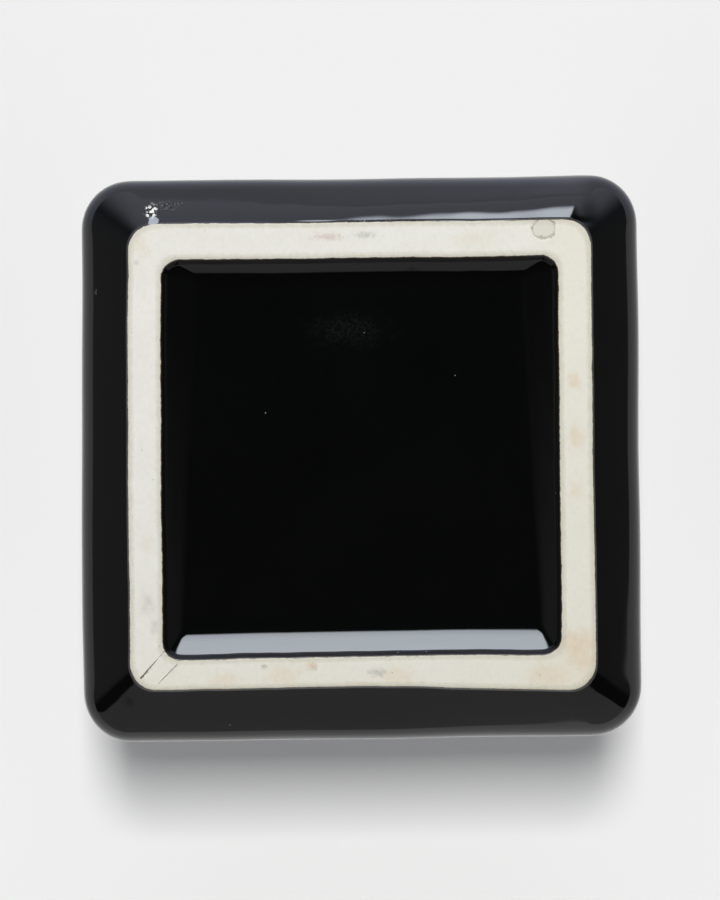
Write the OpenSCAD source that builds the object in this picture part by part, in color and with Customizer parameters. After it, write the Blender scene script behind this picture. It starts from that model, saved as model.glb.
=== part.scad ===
// Square ceramic powder compact: two glazed shells with brass rim mounts, a rear hinge and a front catch.
// It stands on its foot ring. The origin is the centre of the ring's face, +Z is up, +Y is the hinge side.

/* [Case] */
// Width and depth of the base at its belly
case_w = 80; // [74:1:90]
// Corner radius of the base at its belly
case_corner = 7.2; // [6:0.2:12]
// Width and depth of the lid at its belly
lid_w = 79.4; // [73:0.2:89.4]
// Height of the closed case
closed_h = 26.5; // [26:0.5:30]
// Height of the plane where the lid meets the base
parting_z = 15; // [14.8:0.1:15.2]
// Gap between the two rim mounts when the case is closed
rim_gap = 0.3; // [0.2:0.05:0.4]

/* [Foot] */
// Width of the foot ring's outer edge
foot_w = 66; // [62:0.2:68]
// Corner radius of the foot ring's outer edge
foot_corner = 3.8; // [3:0.2:6]
// Width of the foot ring's flat face
ring_face = 4.6; // [3:0.1:6]
// Height at which the foot's short wall meets the slope
foot_h = 0.6; // [0.4:0.1:1.4]
// Depth of the recess inside the foot ring
recess_depth = 2.3; // [1.5:0.1:2.5]
// Width of the steep lip just inside the foot ring
recess_lip = 0.7; // [0.4:0.1:1]
// Width of the sloping band around the recess floor
recess_slope = 3; // [2:0.1:4]

/* [Ceramic walls] */
// Width of the space inside both shells
inner_w = 68.4; // [66:0.2:69]
// Height of the base's inner floor
floor_z = 5; // [4.6:0.1:5.2]
// Height of the lid's ceiling
ceiling_z = 22.3; // [22:0.1:23]

/* [Rim mounts] */
// Width of the brass bands
band_w = 75; // [72:0.2:75.4]
// Corner radius of the brass bands
band_corner = 6; // [5:0.2:8]
// Height of each brass band
band_h = 2.85; // [2.5:0.05:3]
// Thickness of the brass bands
band_t = 0.7; // [0.5:0.05:0.8]
// Thickness of the flat lands that meet when the case closes
land_t = 0.8; // [0.6:0.1:1]
// Thickness of the collar that locates the lid
collar_t = 0.6; // [0.4:0.1:0.6]
// Height that the collar stands above the parting plane
collar_rise = 0.9; // [0.5:0.1:1]

/* [Hinge] */
// Radius of the hinge knuckles
knuckle_r = 1.1; // [0.9:0.05:1.1]
// Radius of the hinge pin
pin_r = 0.5; // [0.4:0.05:0.55]
// Radial clearance of the pin in the lid's knuckle
pin_fit = 0.05; // [0.03:0.01:0.08]
// Length of the whole hinge
hinge_l = 26; // [20:1:40]
// Length of the lid's middle knuckle
lid_knuckle_l = 8.6; // [6:0.2:14]

/* [Catch] */
// Width of the push button
button_w = 11; // [8:0.5:14]
// Height of the push button
button_h = 2; // [1.6:0.1:2.2]
// Travel of the push button
button_travel = 0.8; // [0.4:0.1:0.8]
// Width of the sliding plate
slider_w = 10; // [8:0.5:11]
// Width of the hook on the lid
hook_w = 3.6; // [2:0.2:4]

/* [Powder] */
// Radius of the powder well
well_r = 26.6; // [22:0.2:26.6]
// Thickness of the well's and the pan's metal
sheet_t = 0.4; // [0.3:0.05:0.5]
// Height of the pressed powder
cake_h = 3; // [2:0.1:3.4]

/* [Puff] */
// Radius of the puff
puff_r = 25; // [20:0.2:25]
// Thickness of the puff's pad
puff_h = 5.4; // [4:0.1:5.6]
// Width of the finger ribbon
ribbon_w = 9; // [6:0.5:14]

/* [Mirror] */
// Width of the mirror glass
mirror_w = 65; // [60:0.2:65]
// Thickness of the mirror glass
mirror_t = 1.6; // [1:0.1:1.8]
// Width of the frame's lip over the glass
mirror_lip = 3; // [2:0.1:4]

/* [Hidden] */

$fn = 64;
disc_fn = 128;                              // facets of the large round parts
eps = 0.01;
cut = 1;                                    // how far a cutter runs past the face it opens
fit = 0.05;                                 // gap left for cement or for a push fit
clearance = 0.3;                            // gap left between pieces that move past each other

case_half = case_w / 2;
lid_half = lid_w / 2;
foot_half = foot_w / 2;
inner_half = inner_w / 2;
band_half = band_w / 2;
neck_half = band_half - band_t - fit;       // outside of the ceramic's neck, under the band
neck_corner = band_corner - band_t;

base_rim_z = parting_z - rim_gap / 2;       // top of the base's brass land
lid_rim_z = parting_z + rim_gap / 2;        // underside of the lid's brass land
base_band_z = base_rim_z - band_h;
lid_band_z = lid_rim_z + band_h;

// The base's belly is an arc of roll_r below its widest level and of shoulder_r above it.
// The lid's belly is an arc of shoulder_r below its widest level and of lid_roll_r above it.
roll_r = 5.2;
lid_roll_r = 4.2;
shoulder_r = 3.8;
slope_tilt = 36;                            // tilt at which the slope from the foot meets the belly
belly_z = 8.45;
lid_belly_z = lid_band_z + base_band_z - belly_z;
slope_corner = case_corner - 1.2;

// Foot ring and recess
foot_round = 0.1;                           // rounding of the foot ring's outer edge
foot_root_w = 0.3;                          // how far the slope starts outside the foot ring
recess_half = foot_half - ring_face;
recess_corner = 2.7;
recess_floor_corner = 1;
lip_h = 0.85;                               // depth at which the steep lip ends

// Hollows of the shells
inner_corner = 4.6;
cove_w = 3.2;                               // width of the rounding around the base's inner floor
cove_h = 2.8;
cove_corner = 4;
ceiling_cove_w = 2.2;
ceiling_cove_h = 1.8;

// Levels of the lid's crown: [depth below the top, distance in from the belly, corner radius]
crown = [[0.7, 5.2, 6], [0.35, 11, 6], [0.1, 19, 6], [eps, 31, 5]];

// Collars: the base's collar stands inside the lid's opening.
collar_half = 33.5;
collar_corner = 4.2;
collar_z = 13.6;
lid_lip_half = collar_half + clearance;
lip_drop = 0.4;                             // how far the lid's lip ends below the band's edge

// Inner frame
frame_half = collar_half - collar_t - fit;
frame_corner = 3.6;
frame_z = 13.7;
frame_t = 0.5;

// Catch: the slider runs in a channel under the inner frame
slider_z = 12.3;
slider_t = 0.8;
slider_front_y = -34.6;
slider_tail_y = -30;
window_front_y = -33.6;
window_back_y = -31.2;
window_w = hook_w + 0.8;
stem_w = 8;
stem_back_y = -34;
tongue_w = stem_w / 2;
tongue_l = 0.6;
tongue_t = slider_t - 0.4;
button_back_y = -(band_half + button_travel + fit);
button_front_y = -39.5;
guide_front_y = -33.8;
guide_wall_y = -28.2;
guide_wall_t = 0.5;
guide_floor_t = 0.4;
guide_low_z = slider_z - clearance / 2 - guide_floor_t;
rail_in = slider_w / 2 + clearance;
rail_t = 0.6;
rail_out = rail_in + rail_t;
rail_front_y = -32.6;                       // where the rails rise to the inner frame, behind the collar
rail_foot_l = 2;
flange_w = 2.8;
flange_l = 3.8;
spring_bow_r = 40;
spring_t = 0.2;
rivet_x = rail_out + 1.3;
rivet_y = -30.6;
rivet_r = 0.6;
rivet_head_r = 1.1;
rivet_head_t = 0.35;
rivet_tail_t = 0.3;

// Hook on the lid
hook_front_y = -32.5;
hook_t = 0.6;
hook_foot_t = 0.5;
hook_foot_h = 1.2;
hook_foot_side = 1;                         // how far the foot is wider than the arm on each side
hook_z = parting_z + collar_rise + clearance;
nose_z = slider_z - 0.6;
nose_t = 0.4;
nose_reach = 0.4;

// Hinge
hinge_y = 38.85;
knuckle_gap = 0.2;
leaf_t = 0.55;
leaf_edge = 0.3;                            // how far a leaf ends short of its band's outer edge
leaf_gap = 0.1;                             // how far a leaf ends short of the parting plane
pin_head_r = pin_r + 0.25;
pin_head_t = 0.35;
heel_reach = 1.3;
heel_w = 0.5;
heel_root = 0.3;                            // how deep the heel is sunk in its knuckle
heel_angle = 300;                           // direction of the stop heel with the lid closed, from +Y to +Z

// Powder and puff, stacked in the well
cushion_t = 0.38;
cushion_z = floor_z + eps;
well_z = floor_z + cushion_t + 2 * eps;
pan_z = well_z + sheet_t + fit;
pan_r = well_r - sheet_t - 0.2;
pan_h = 3.9;
cake_z = pan_z + sheet_t;
dish_r = 150;                               // radius of the hollow in the powder's top
dish_depth = 0.25;
puff_z = cake_z + cake_h + 0.25;
backing_edge = 3;                           // how far the disc is smaller than the pad
backing_slope = 1.5;
backing_t = 0.6;
ribbon_end = 5.5;                           // distance from the ribbon's ends to the pad's edge
ribbon_t = 0.5;

// Mirror
mirror_z = 18.45;
mirror_frame_z = 17.8;
mirror_frame_half = 33.4;
mirror_frame_corner = 5;
mirror_corner = 4.3;
mirror_skirt_t = 0.6;
mirror_backing_t = 0.9;
mirror_backing_edge = 1;                    // how far the card is smaller than the glass
mirror_backing_corner = 3.8;

// Points of a square with rounded corners, centred on the origin, counter-clockwise
arc_steps = 10;
function rounded_square(half, corner) =
    [for (quarter = [0:3], step = [0:arc_steps])
        let (turn = 90 * quarter, angle = turn + 90 * step / arc_steps,
             sx = sign(cos(turn + 45)), sy = sign(sin(turn + 45)))
        [sx * (half - corner) + corner * cos(angle), sy * (half - corner) + corner * sin(angle)]];

// A straight block with that outline
module slab(half, corner, z, height) {
    translate([0, 0, z]) linear_extrude(height) polygon(rounded_square(half, corner));
}

// A closed band between two such outlines
module band(outer_half, outer_corner, inner_half_width, z, height) {
    difference() {
        slab(outer_half, outer_corner, z, height);
        slab(inner_half_width, max(1, outer_corner - outer_half + inner_half_width),
             z - cut, height + 2 * cut);
    }
}

// A convex body through levels of [z, half width, corner radius]
module loft(levels) {
    hull() for (level = levels) slab(level[1], level[2], level[0], eps);
}

// A level of a belly, at a tilt above or below its widest level: [z, half width, corner radius]
function roll_level(half, widest_z, tilt, radius, corner) =
    [widest_z + radius * sin(tilt), half - radius * (1 - cos(tilt)), corner];

base_outer = concat(
    [[foot_h, foot_half + foot_root_w, foot_corner + foot_root_w],
     roll_level(case_half, belly_z, slope_tilt - 90, roll_r, slope_corner)],
    [for (tilt = [-42:12:-6]) roll_level(case_half, belly_z, tilt, roll_r, case_corner)],
    [for (tilt = [0:15:60]) roll_level(case_half, belly_z, tilt, shoulder_r, case_corner)],
    [[base_band_z - eps, band_half + fit, band_corner + fit]]);
foot_levels = [[0, foot_half - foot_round, foot_corner - foot_round],
               [2 * foot_round, foot_half, foot_corner],
               [foot_h + 1, foot_half + foot_root_w, foot_corner + foot_root_w]];
lip_levels = [[-cut, recess_half, recess_corner], [fit, recess_half, recess_corner],
              [lip_h, recess_half - recess_lip, recess_corner - recess_lip]];
recess_levels = [[lip_h - fit, recess_half - recess_lip + fit, recess_corner - recess_lip],
                 [recess_depth - eps, recess_half - recess_lip - recess_slope, recess_floor_corner]];
base_cavity = [[floor_z, inner_half - cove_w, cove_corner],
               [floor_z + 0.4 * cove_h, inner_half - 0.35 * cove_w, inner_corner],
               [floor_z + cove_h, inner_half, inner_corner], [parting_z, inner_half, inner_corner]];
lid_outer = concat(
    [[lid_band_z + eps, band_half + fit, band_corner + fit]],
    [for (tilt = [-60:15:0]) roll_level(lid_half, lid_belly_z, tilt, shoulder_r, case_corner)],
    [for (tilt = [15:15:60]) roll_level(lid_half, lid_belly_z, tilt, lid_roll_r, case_corner)],
    [for (level = crown) [closed_h - level[0], lid_half - level[1], level[2]]]);
lid_cavity = [[parting_z, inner_half, inner_corner], [ceiling_z - ceiling_cove_h, inner_half, inner_corner],
              [ceiling_z - eps, inner_half - ceiling_cove_w, cove_corner]];

// Ceramic base: body, foot ring, recess, inside, neck and the notch that the catch passes through
module base_shell() {
    color([0.03, 0.035, 0.03]) difference() {
        union() {
            loft(base_outer);
            loft(foot_levels);
            slab(neck_half, neck_corner, base_band_z - cut, band_h - land_t + cut - fit);
        }
        loft(lip_levels);
        loft(recess_levels);
        loft(base_cavity);
        translate([-rail_out - fit, -neck_half - cut, base_band_z])
            cube([2 * (rail_out + fit), neck_half - inner_half + 2 * cut, band_h]);
    }
}

// Ceramic lid: crowned top, belly, neck and hollow inside
module lid_shell() {
    color([0.03, 0.035, 0.03]) difference() {
        union() {
            loft(lid_outer);
            slab(neck_half, neck_corner, lid_rim_z + land_t + fit, band_h - land_t + cut - fit);
        }
        loft(lid_cavity);
    }
}

// Brass mount of the base: outer band, flat land, locating collar and the notch for the button's stem
module base_bezel() {
    color([0.78, 0.62, 0.32]) difference() {
        union() {
            band(band_half, band_corner, neck_half + fit, base_band_z, band_h);
            band(band_half, band_corner, collar_half - collar_t, base_rim_z - land_t, land_t);
            band(collar_half, collar_corner, collar_half - collar_t,
                 collar_z, parting_z + collar_rise - collar_z);
        }
        translate([-stem_w / 2 - clearance, -band_half - cut, base_band_z - cut])
            cube([stem_w + 2 * clearance, band_t + 2 * cut,
                  slider_z + slider_t + clearance - base_band_z + cut]);
    }
}

// Brass mount of the lid: outer band, flat land and the lip inside the ceramic
module lid_bezel() {
    color([0.78, 0.62, 0.32]) union() {
        band(band_half, band_corner, neck_half + fit, lid_rim_z, band_h);
        band(band_half, band_corner, lid_lip_half, lid_rim_z, land_t);
        band(inner_half - fit, inner_corner - fit, lid_lip_half, lid_rim_z, band_h - lip_drop);
    }
}

// A knuckle along X, with its bore
module knuckle(x0, x1, bore_r) {
    translate([x0, hinge_y, parting_z]) rotate([0, 90, 0]) difference() {
        cylinder(r = knuckle_r, h = x1 - x0);
        translate([0, 0, -cut]) cylinder(r = bore_r, h = x1 - x0 + 2 * cut);
    }
}

// The plate that carries a knuckle, with the pin's way kept open
module leaf_plate(x0, x1, z0, z1) {
    difference() {
        translate([x0, band_half, z0]) cube([x1 - x0, leaf_t, z1 - z0]);
        translate([x0 - cut, hinge_y, parting_z]) rotate([0, 90, 0])
            cylinder(r = knuckle_r - 2 * fit, h = x1 - x0 + 2 * cut);
    }
}

// Hinge leaf of the base, with the two outer knuckles
module base_hinge_leaf() {
    inner_end = lid_knuckle_l / 2 + knuckle_gap;
    color([0.74, 0.58, 0.3]) for (side = [0, 1]) mirror([side, 0, 0]) {
        knuckle(inner_end, hinge_l / 2, pin_r);
        leaf_plate(inner_end, hinge_l / 2, base_band_z + leaf_edge, parting_z - leaf_gap);
    }
}

// Hinge leaf of the lid, with the middle knuckle and the heel that stops the lid
module lid_hinge_leaf() {
    half_l = lid_knuckle_l / 2;
    color([0.74, 0.58, 0.3]) {
        knuckle(-half_l, half_l, pin_r + pin_fit);
        leaf_plate(-half_l, half_l, parting_z + leaf_gap, lid_band_z - leaf_edge);
        translate([-half_l, hinge_y, parting_z]) rotate([heel_angle, 0, 0])
            translate([0, knuckle_r - heel_root, -heel_w / 2])
            cube([lid_knuckle_l, heel_reach - knuckle_r + heel_root, heel_w]);
    }
}

// Hinge pin, with a peened head on each end
module hinge_pin() {
    color([0.7, 0.55, 0.3]) translate([-hinge_l / 2 - pin_head_t, hinge_y, parting_z]) rotate([0, 90, 0]) {
        cylinder(r = pin_r, h = hinge_l + 2 * pin_head_t);
        for (end = [0, hinge_l + pin_head_t]) translate([0, 0, end]) cylinder(r = pin_head_r, h = pin_head_t);
    }
}

// Push button: a rounded bar in front of the base's band, with the socket for the slider's tongue
module push_button() {
    end_r = button_h / 2;
    depth = button_back_y - button_front_y;
    color([0.8, 0.64, 0.34]) difference() {
        translate([0, button_back_y, slider_z + end_r]) rotate([90, 0, 0]) union() {
            translate([-button_w / 2 + end_r, -end_r, 0]) cube([button_w - 2 * end_r, button_h, depth]);
            for (side = [-1, 1]) translate([side * (button_w / 2 - end_r), 0, 0])
                cylinder(r = end_r, h = depth);
        }
        translate([-tongue_w / 2, button_back_y - tongue_l, slider_z + (slider_t - tongue_t) / 2])
            cube([tongue_w, tongue_l + cut, tongue_t]);
    }
}

// Sliding plate: plate with the hook's window, stem, and the tongue that holds the button
module catch_slider() {
    color([0.75, 0.72, 0.65]) difference() {
        union() {
            translate([-slider_w / 2, slider_front_y, slider_z])
                cube([slider_w, slider_tail_y - slider_front_y, slider_t]);
            translate([-stem_w / 2, button_back_y, slider_z])
                cube([stem_w, stem_back_y - button_back_y, slider_t]);
            translate([-tongue_w / 2, button_back_y - tongue_l, slider_z + (slider_t - tongue_t) / 2])
                cube([tongue_w, tongue_l + cut, tongue_t]);
        }
        translate([-window_w / 2, window_front_y, slider_z - cut])
            cube([window_w, window_back_y - window_front_y, slider_t + 2 * cut]);
    }
}

// Channel under the inner frame: floor with a window, two rails, end wall and two flanges
module catch_guide() {
    back_y = guide_wall_y + guide_wall_t;
    color([0.72, 0.6, 0.36]) difference() {
        union() {
            translate([-rail_out, guide_front_y, guide_low_z])
                cube([2 * rail_out, back_y - guide_front_y, guide_floor_t]);
            translate([-rail_out, guide_wall_y, guide_low_z])
                cube([2 * rail_out, guide_wall_t, frame_z - guide_low_z]);
            for (side = [0, 1]) mirror([side, 0, 0]) {
                translate([rail_in, rail_front_y, guide_low_z])
                    cube([rail_t, back_y - rail_front_y, frame_z - guide_low_z]);
                translate([rail_in, guide_front_y, guide_low_z])
                    cube([rail_t, rail_foot_l, collar_z - guide_low_z - 2 * fit]);
                translate([rail_in, rail_front_y, frame_z - frame_t])
                    cube([rail_t + flange_w, flange_l, frame_t]);
            }
        }
        translate([-window_w / 2, window_front_y + fit, guide_low_z - cut])
            cube([window_w, window_back_y - window_front_y + button_travel, guide_floor_t + 2 * cut]);
        for (side = [-1, 1]) translate([side * rivet_x, rivet_y, frame_z - cut])
            cylinder(r = rivet_r, h = 2 * cut);
    }
}

// Bowed leaf spring between the slider's tail and the channel's end wall, drawn pressed as at full travel
module catch_spring() {
    back_y = guide_wall_y - clearance;
    length = slider_w - 0.8;
    color([0.6, 0.62, 0.66]) intersection() {
        translate([0, back_y - spring_bow_r, slider_z]) difference() {
            cylinder(r = spring_bow_r, h = slider_t, $fn = disc_fn);
            translate([0, 0, -cut])
                cylinder(r = spring_bow_r - spring_t, h = slider_t + 2 * cut, $fn = disc_fn);
        }
        translate([-length / 2, back_y - cut, slider_z - cut]) cube([length, 2 * cut, slider_t + 2 * cut]);
    }
}

// Two rivets through the channel's flanges and the inner frame
module guide_rivets() {
    low_z = frame_z - frame_t;
    color([0.8, 0.66, 0.38]) for (side = [-1, 1]) translate([side * rivet_x, rivet_y, 0]) {
        translate([0, 0, low_z - rivet_tail_t]) cylinder(r = rivet_r + rivet_tail_t, h = rivet_tail_t);
        translate([0, 0, low_z - fit]) cylinder(r = rivet_r, h = 2 * (frame_t + fit));
        translate([0, 0, frame_z + frame_t]) cylinder(r1 = rivet_head_r, r2 = rivet_r, h = rivet_head_t);
    }
}

// Hook on the lid: a foot soldered inside the lid's lip, an arm over the collar and a nose in the window
module catch_hook() {
    foot_y = -lid_lip_half;
    arm_y = foot_y + hook_foot_t - fit;
    color([0.76, 0.6, 0.32]) {
        translate([-hook_w / 2 - hook_foot_side, foot_y, hook_z])
            cube([hook_w + 2 * hook_foot_side, hook_foot_t, hook_foot_h]);
        translate([-hook_w / 2, arm_y, hook_z]) cube([hook_w, hook_front_y + hook_t - arm_y, hook_t]);
        translate([-hook_w / 2, hook_front_y, nose_z]) cube([hook_w, hook_t, hook_z + hook_t - nose_z]);
        translate([-hook_w / 2, hook_front_y, nose_z]) cube([hook_w, hook_t + nose_reach, nose_t]);
    }
}

// Plate around the powder well, with the notch for the hook
module inner_frame() {
    color([0.8, 0.66, 0.38]) difference() {
        slab(frame_half, frame_corner, frame_z, frame_t);
        translate([0, 0, frame_z - cut]) cylinder(r = well_r - sheet_t, h = frame_t + 2 * cut, $fn = disc_fn);
        translate([-window_w / 2, -frame_half - cut, frame_z - cut])
            cube([window_w, frame_half + cut + window_back_y, frame_t + 2 * cut]);
        for (side = [-1, 1]) translate([side * rivet_x, rivet_y, frame_z - cut])
            cylinder(r = rivet_r, h = frame_t + 2 * cut);
    }
}

// A round cup, open at the top
module cup(radius, z, height) {
    translate([0, 0, z]) difference() {
        cylinder(r = radius, h = height, $fn = disc_fn);
        translate([0, 0, sheet_t]) cylinder(r = radius - sheet_t, h = height, $fn = disc_fn);
    }
}

// Drawn cup under the inner frame
module powder_well() {
    color([0.78, 0.64, 0.36]) cup(well_r, well_z, frame_z - well_z);
}

// Felt disc between the cup and the ceramic floor
module well_cushion() {
    color([0.45, 0.1, 0.12]) translate([0, 0, cushion_z]) cylinder(r = pan_r, h = cushion_t, $fn = disc_fn);
}

// Shallow metal pan that holds the powder
module powder_pan() {
    color([0.8, 0.8, 0.8]) cup(pan_r, pan_z, pan_h);
}

// Pressed powder, with a low dished top
module powder_cake() {
    color([0.86, 0.68, 0.56]) translate([0, 0, cake_z]) difference() {
        cylinder(r = pan_r - sheet_t, h = cake_h, $fn = disc_fn);
        translate([0, 0, cake_h + dish_r - dish_depth]) sphere(r = dish_r, $fn = 2 * disc_fn);
    }
}

// Soft pad of the puff: round, with a rolled edge
module puff_pad() {
    edge_r = puff_h / 2;
    color([0.93, 0.83, 0.8]) translate([0, 0, puff_z + edge_r]) rotate_extrude($fn = disc_fn) union() {
        translate([0, -edge_r]) square([puff_r - edge_r, puff_h]);
        intersection() {
            translate([puff_r - edge_r, 0]) circle(r = edge_r);
            translate([puff_r - edge_r, -edge_r]) square([edge_r, puff_h]);
        }
    }
}

// Cloth-covered disc on top of the pad
module puff_backing() {
    low_r = puff_r - backing_edge;
    color([0.9, 0.72, 0.7]) translate([0, 0, puff_z + puff_h])
        cylinder(r1 = low_r, r2 = low_r - backing_slope, h = backing_t, $fn = disc_fn);
}

// Finger ribbon across the disc
module puff_ribbon() {
    length = 2 * (puff_r - ribbon_end);
    color([0.85, 0.55, 0.55]) translate([-length / 2, -ribbon_w / 2, puff_z + puff_h + backing_t])
        cube([length, ribbon_w, ribbon_t]);
}

// Mirror glass
module mirror_glass() {
    color([0.85, 0.88, 0.9]) slab(mirror_w / 2, mirror_corner, mirror_z, mirror_t);
}

// Card between the glass and the lid's ceiling
module mirror_backing() {
    color([0.5, 0.42, 0.32])
        slab(mirror_w / 2 - mirror_backing_edge, mirror_backing_corner,
             mirror_z + mirror_t + fit, mirror_backing_t);
}

// Frame that holds the mirror in the lid: a lip over the glass and a skirt around it
module mirror_frame() {
    skirt_in = mirror_frame_half - mirror_skirt_t;
    skirt_h = ceiling_z - ceiling_cove_h - mirror_frame_z;
    color([0.8, 0.66, 0.38]) union() {
        band(mirror_frame_half, mirror_frame_corner, skirt_in - mirror_lip, mirror_frame_z,
             mirror_z - mirror_frame_z - fit);
        band(mirror_frame_half, mirror_frame_corner, skirt_in, mirror_frame_z, skirt_h);
    }
}

base_shell();
lid_shell();
base_bezel();
lid_bezel();
base_hinge_leaf();
lid_hinge_leaf();
hinge_pin();
push_button();
catch_slider();
catch_guide();
catch_spring();
guide_rivets();
catch_hook();
inner_frame();
powder_well();
well_cushion();
powder_pan();
powder_cake();
puff_pad();
puff_backing();
puff_ribbon();
mirror_glass();
mirror_backing();
mirror_frame();
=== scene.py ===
"""The looks of a square, black-glazed ceramic powder compact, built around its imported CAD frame.

Everything is in the row frame, in metres: the foot ring's face is z = 0, +Z is up and +Y is the hinge side.
Profiles are given in millimetres and turned into metres where a mesh is made.
The camera is under the case and looks straight up at its foot, as at a case that lies face down.
"""

import contextlib
import functools
import math

import bmesh
import bpy
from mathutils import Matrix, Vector, noise


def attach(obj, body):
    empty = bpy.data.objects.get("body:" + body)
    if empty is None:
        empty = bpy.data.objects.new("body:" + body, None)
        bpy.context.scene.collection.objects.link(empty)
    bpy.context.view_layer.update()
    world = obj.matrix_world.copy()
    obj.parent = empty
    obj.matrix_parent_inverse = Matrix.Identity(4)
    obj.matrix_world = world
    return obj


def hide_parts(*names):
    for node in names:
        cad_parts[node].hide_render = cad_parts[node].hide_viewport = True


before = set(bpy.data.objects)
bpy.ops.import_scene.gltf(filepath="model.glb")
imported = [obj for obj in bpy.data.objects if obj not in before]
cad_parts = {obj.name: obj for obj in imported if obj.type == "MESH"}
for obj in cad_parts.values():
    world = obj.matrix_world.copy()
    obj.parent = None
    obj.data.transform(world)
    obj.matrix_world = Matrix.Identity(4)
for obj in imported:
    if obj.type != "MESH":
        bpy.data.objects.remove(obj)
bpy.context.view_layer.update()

MM = 0.001
FULL_TURN = 2 * math.pi


# ---------------- meshes


def rounded_square(half, corner, side_steps, corner_steps):
    """Points round a square with rounded corners, counter-clockwise from the +X side."""
    reach = half - corner
    points = []
    for quarter in range(4):
        turn = math.radians(90 * quarter)
        for step in range(corner_steps):
            angle = math.radians(90 * step / corner_steps)
            x = reach + corner * math.cos(angle)
            y = reach + corner * math.sin(angle)
            points.append(rotated(x, y, turn))
        for step in range(side_steps):
            points.append(rotated(reach - 2 * reach * step / side_steps, half, turn))
    return points


def rotated(x, y, turn):
    return x * math.cos(turn) - y * math.sin(turn), x * math.sin(turn) + y * math.cos(turn)


def bands(rings, count, first=0, closed=False, flipped=False):
    """Quads between neighbouring rings of count points, whose first point is vertex first.

    closed joins the last ring to the first. flipped turns the quads over.
    """
    faces = []
    for ring in range(rings if closed else rings - 1):
        low, high = first + ring * count, first + (ring + 1) % rings * count
        for i in range(count):
            j = (i + 1) % count
            if flipped:
                faces.append((low + i, high + i, high + j, low + j))
            else:
                faces.append((low + i, low + j, high + j, high + i))
    return faces


def capped(rings, count, first=0, flipped=False):
    """The same, closed at each end by one flat face."""
    last = first + (rings - 1) * count
    low_end, high_end = tuple(range(first, first + count)), tuple(range(last, last + count))
    ends = [low_end, high_end[::-1]] if flipped else [low_end[::-1], high_end]
    return bands(rings, count, first, flipped=flipped) + ends


def fan(centre, first, count, flipped=False):
    """Triangles from a centre to a ring of count points, whose first point is vertex first."""
    sides = [(first + i, first + (i + 1) % count) for i in range(count)]
    return [(centre, b, a) if flipped else (centre, a, b) for a, b in sides]


def new_object(name, data):
    made = bpy.data.objects.new(name, data)
    bpy.context.scene.collection.objects.link(made)
    return made


def new_piece(name, verts, faces, material=None, smooth=True):
    """A mesh object from points in millimetres."""
    mesh = bpy.data.meshes.new(name)
    mesh.from_pydata([(x * MM, y * MM, z * MM) for x, y, z in verts], [], faces)
    mesh.validate()
    if material:
        mesh.materials.append(material)
    mesh.polygons.foreach_set("use_smooth", [smooth] * len(mesh.polygons))
    mesh.update()
    return new_object(name, mesh)


def sweep(name, stations, material, shape=None, closed=False, side_steps=30, corner_steps=12, edge=None):
    """A surface through rounded squares. Each station is (z, half width, corner radius).

    shape moves a point (x, y, z) by hand-made unevenness. closed joins the last station to the first;
    otherwise both ends are drawn together to a point. edge gives each station's edge_mm value.
    """
    count = 4 * (side_steps + corner_steps)
    verts, edge_values = [], []
    for number, (z, half, corner) in enumerate(stations):
        for x, y in rounded_square(half, corner, side_steps, corner_steps):
            verts.append(shape(x, y, z) if shape else (x, y, z))
            edge_values.append(edge[number] if edge else 0)
    rings = len(stations)
    faces = bands(rings, count, closed=closed)
    if not closed:
        for ring in (0, rings - 1):
            faces += fan(len(verts), ring * count, count, ring == 0)
            verts.append((0, 0, stations[ring][0]))
            edge_values.append(edge_values[ring * count])
    piece = new_piece(name, verts, faces, material)
    if edge:
        attribute = piece.data.attributes.new("edge_mm", "FLOAT", "POINT")
        attribute.data.foreach_set("value", edge_values)
    return piece


def subdivide(piece):
    """One level of subdivision surface, applied."""
    modifier = piece.modifiers.new("smooth", "SUBSURF")
    modifier.levels = modifier.render_levels = 1
    apply_modifiers(piece)


def apply_modifiers(piece):
    depsgraph = bpy.context.evaluated_depsgraph_get()
    mesh = bpy.data.meshes.new_from_object(piece.evaluated_get(depsgraph))
    old = piece.data
    piece.modifiers.clear()
    piece.data = mesh
    bpy.data.meshes.remove(old)


def place(piece, body, slot, *nodes):
    """A finished piece rides its body and stands for its CAD nodes; slot is not used."""
    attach(piece, body)
    if nodes:
        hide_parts(*nodes)


# ---------------- shader helpers


class Nodes:
    """A material's or world's node tree, with short calls for its nodes."""

    def __init__(self, owner):
        owner.use_nodes = True
        self.tree = owner.node_tree
        self.tree.nodes.clear()

    def put(self, socket, value):
        if isinstance(value, bpy.types.NodeSocket):
            self.tree.links.new(value, socket)
        else:
            socket.default_value = value

    def node(self, kind, inputs=None, **settings):
        made = self.tree.nodes.new("ShaderNode" + kind)
        for key, value in settings.items():
            setattr(made, key, value)
        for key, value in (inputs or {}).items():
            self.put(made.inputs[key], value)
        return made

    def math(self, operation, a, b=0, c=0, clamp=False):
        made = self.node("Math", {0: a, 1: b, 2: c}, operation=operation, use_clamp=clamp)
        return made.outputs[0]

    def times(self, *values):
        return functools.reduce(functools.partial(self.math, "MULTIPLY"), values)

    def plus(self, *values):
        return functools.reduce(functools.partial(self.math, "ADD"), values)

    def minus(self, a, b):
        return self.math("SUBTRACT", a, b)

    def step(self, value, low, high, at_low=0, at_high=1):
        """at_low below low and at_high above high, smooth between; low above high turns it round."""
        inputs = {"Value": value, "From Min": low, "From Max": high, "To Min": at_low, "To Max": at_high}
        return self.node("MapRange", inputs, interpolation_type="SMOOTHSTEP").outputs["Result"]

    def mix(self, factor, a, b):
        """From colour a to colour b as the factor goes from 0 to 1."""
        return self.node("Mix", {0: factor, 6: a, 7: b}, data_type="RGBA").outputs[2]

    def blend(self, factor, a, b):
        """The same for plain numbers."""
        return self.node("Mix", {0: factor, 2: a, 3: b}, data_type="FLOAT").outputs[0]


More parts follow.
